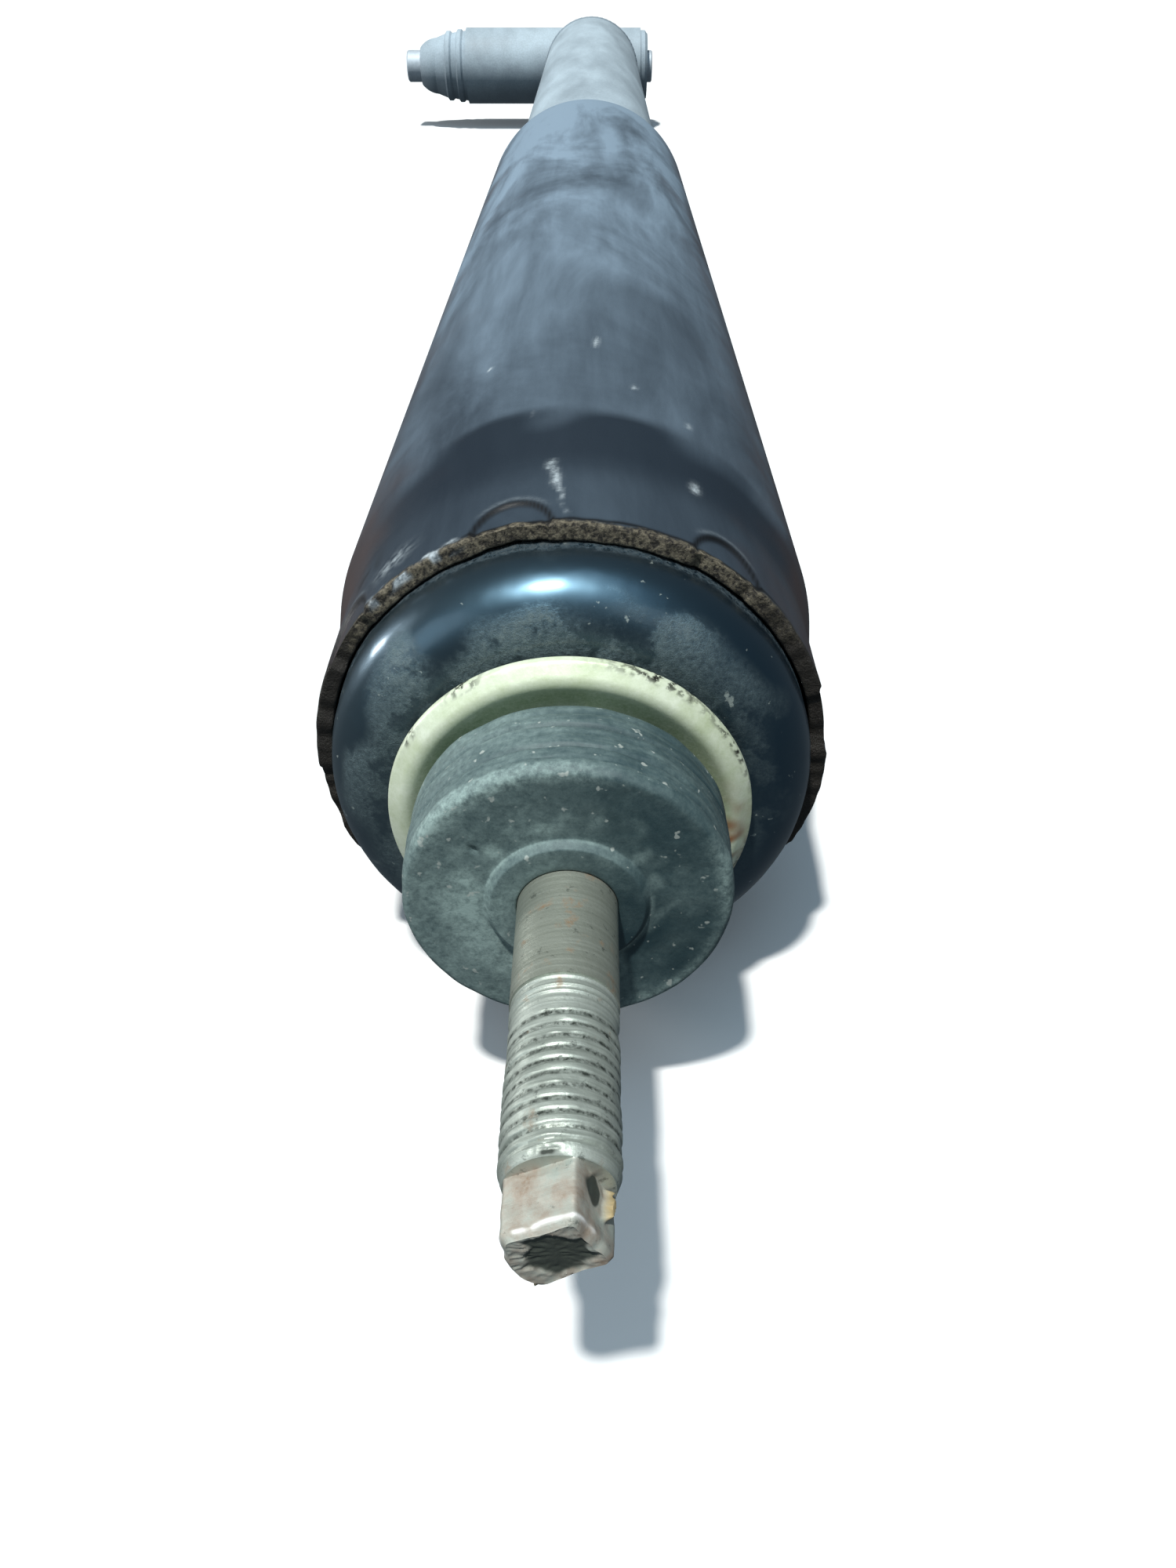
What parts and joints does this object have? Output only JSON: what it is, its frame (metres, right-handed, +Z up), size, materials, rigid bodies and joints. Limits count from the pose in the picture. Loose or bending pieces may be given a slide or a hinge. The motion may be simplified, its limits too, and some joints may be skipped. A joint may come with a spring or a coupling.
{
  "type": "rear shock absorber",
  "caption": "Twin-tube telescopic rear shock absorber with a threaded top stud, rubber bush and cup washer, dust tube and a rubber-bushed lower cross tube.",
  "frame": {"origin": "centre of the lower cross tube's bore where it crosses the damper's axis", "axes": "+Y along the damper from the top stud to the cross tube, +X along the cross tube, +Z up, across both"},
  "size_m": [0.142, 0.772, 0.0616],
  "materials": {
    "rod_steel": "turned and rolled carbon steel, worn and lightly rusted; hard-chromed below the shoulder",
    "cap_paint": "black paint over pressed steel, dusty on the flat, glossy on the shoulder",
    "weld_steel": "weld bead under black paint",
    "dust_plastic": "moulded dark grey-blue plastic, scuffed and dusty",
    "cushion_rubber": "moulded black rubber",
    "plain_steel": "machined steel, oiled",
    "spring_steel": "hardened spring steel",
    "sintered_iron": "sintered iron",
    "washer_zinc": "pressed steel, yellow-green zinc plating with chipped edges",
    "bush_rubber": "moulded rubber, aged and dusty",
    "band_plastic": "filled PTFE",
    "tube_paint": "black paint under grey road dust",
    "seal_rubber": "nitrile rubber",
    "sleeve_zinc": "zinc-plated steel tube, dull"
  },
  "bodies": {
    "rod": {"piston_rod": "rod_steel", "dust_cap": "cap_paint", "cap_weld": "weld_steel", "dust_tube": "dust_plastic", "bump_cushion": "cushion_rubber", "rebound_stop_ring": "plain_steel", "rebound_cushion": "cushion_rubber", "piston_stop_washer": "plain_steel", "piston_valve_spring": "spring_steel", "piston": "sintered_iron", "piston_shims": "spring_steel", "piston_support_washer": "plain_steel", "piston_nut": "plain_steel"},
    "washer": {"cup_washer": "washer_zinc"},
    "bush": {"upper_bush": "bush_rubber"},
    "piston_check": {"piston_check_plate": "spring_steel"},
    "piston_band": {"piston_band": "band_plastic"},
    "damper_body": {"reserve_tube": "tube_paint", "closing_ring": "plain_steel", "rod_seal": "seal_rubber", "garter_spring": "spring_steel", "rod_guide": "sintered_iron", "guide_bushing": "band_plastic", "guide_o_ring": "seal_rubber", "pressure_tube": "plain_steel", "base_valve_body": "sintered_iron", "base_valve_spring": "spring_steel", "base_valve_bolt": "plain_steel", "base_valve_nut": "plain_steel", "base_shims": "spring_steel", "base_cap": "tube_paint", "base_weld": "weld_steel", "lower_barrel": "tube_paint", "barrel_weld": "weld_steel", "barrel_bush_left": "bush_rubber", "barrel_bush_right": "bush_rubber"},
    "base_check": {"base_check_plate": "spring_steel"},
    "eye_sleeve": {"inner_sleeve": "sleeve_zinc"}
  },
  "joints": [
    {"name": "rod_spin", "type": "hinge", "parent": "rod", "child": "piston_band", "pos_m": [0, -0.38, 0], "axis": [0, 1, 0], "continuous": true},
    {"name": "body_slide", "type": "slide", "parent": "piston_band", "child": "damper_body", "axis": [0, -1, 0], "range_m": [0, 0.235]},
    {"name": "washer_slide", "type": "slide", "parent": "rod", "child": "washer", "axis": [0, -1, 0], "range_m": [0, 0.018]},
    {"name": "bush_slide", "type": "slide", "parent": "washer", "child": "bush", "axis": [0, -1, 0], "range_m": [0, 0.018]},
    {"name": "piston_check_lift", "type": "slide", "parent": "rod", "child": "piston_check", "axis": [0, -1, 0], "range_m": [0, 0.0008], "stiffness_N_per_m": 500, "springref_m": -0.0004},
    {"name": "base_check_lift", "type": "slide", "parent": "damper_body", "child": "base_check", "axis": [0, -1, 0], "range_m": [0, 0.0008], "stiffness_N_per_m": 500, "springref_m": -0.0004},
    {"name": "sleeve_twist", "type": "hinge", "parent": "damper_body", "child": "eye_sleeve", "pos_m": [0, 0, 0], "axis": [1, 0, 0], "range_deg": [-12, 12], "stiffness_Nm_per_rad": 12}
  ]
}
